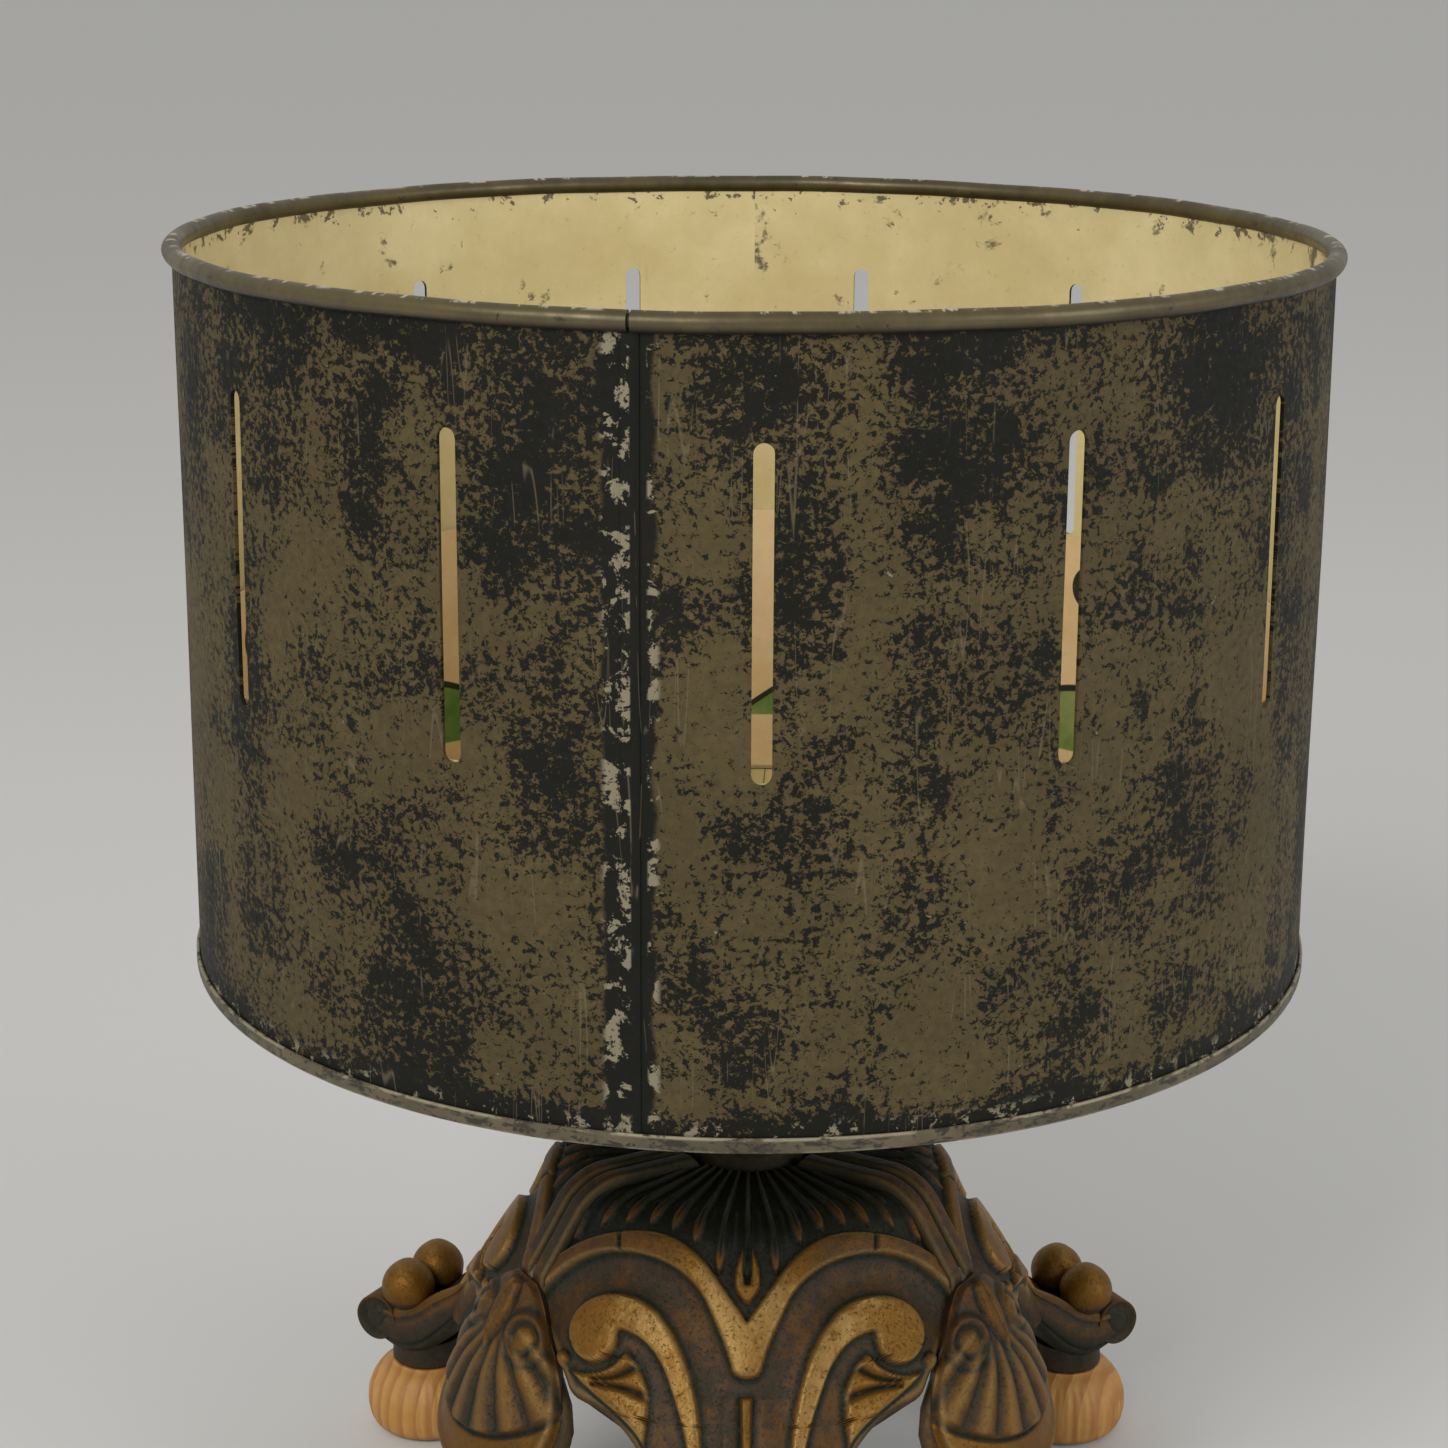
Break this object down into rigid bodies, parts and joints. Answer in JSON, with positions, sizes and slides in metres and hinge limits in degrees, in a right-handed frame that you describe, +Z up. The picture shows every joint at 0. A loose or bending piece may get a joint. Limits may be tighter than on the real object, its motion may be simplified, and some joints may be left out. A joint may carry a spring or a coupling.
{
  "type": "zoetrope",
  "caption": "Slotted tin drum that spins on an upright spindle over a cast scrolled base with turned feet; a loose picture strip stands inside.",
  "frame": {"origin": "on the table plane, under the spindle's axis", "axes": "+Z up along the spindle; the front leg points to -Y; +X to the right seen from the front"},
  "size_m": [0.305, 0.305, 0.377],
  "materials": {
    "japanned_tin": "worn black japan over brown tin patina, satin",
    "worn_tin": "rubbed tin with paint left in the corners",
    "steel": "dull drawn steel",
    "brass": "tarnished brass",
    "printed_card": "printed card, matt",
    "bronzed_iron": "bronze paint, rubbed gold on the raised parts and dark in the hollows",
    "dark_iron": "dark bronzed iron",
    "softwood": "bare turned softwood"
  },
  "bodies": {
    "base": {"spindle": "steel", "thrust_washer": "brass", "top_washer": "brass", "spindle_nut": "brass", "neck_pillar": "dark_iron", "clamp_plate": "dark_iron", "bottom_washer": "steel", "bottom_nut": "steel", "leg_front": "bronzed_iron", "leg_right": "bronzed_iron", "leg_left": "bronzed_iron", "strap_right": "bronzed_iron", "strap_back": "bronzed_iron", "strap_left": "bronzed_iron", "joint_cleats": "dark_iron", "joint_screws": "steel", "bun_foot_front": "softwood", "bun_foot_right": "softwood", "bun_foot_left": "softwood", "foot_screws": "steel"},
    "drum": {"drum_wall": "japanned_tin", "rim_wire": "steel", "drum_floor": "worn_tin", "floor_plate": "worn_tin", "hub_flange": "dark_iron", "hub_rivets": "steel", "hub_bush": "brass"},
    "strip": {"picture_strip": "printed_card"}
  },
  "joints": [
    {"name": "drum_spin", "type": "hinge", "parent": "base", "child": "drum", "pos_m": [0, 0, 0.18], "axis": [0, 0, 1], "continuous": true},
    {"name": "strip_lift", "type": "slide", "parent": "drum", "child": "strip", "axis": [0, 0, 1], "range_m": [0, 0.2]}
  ]
}
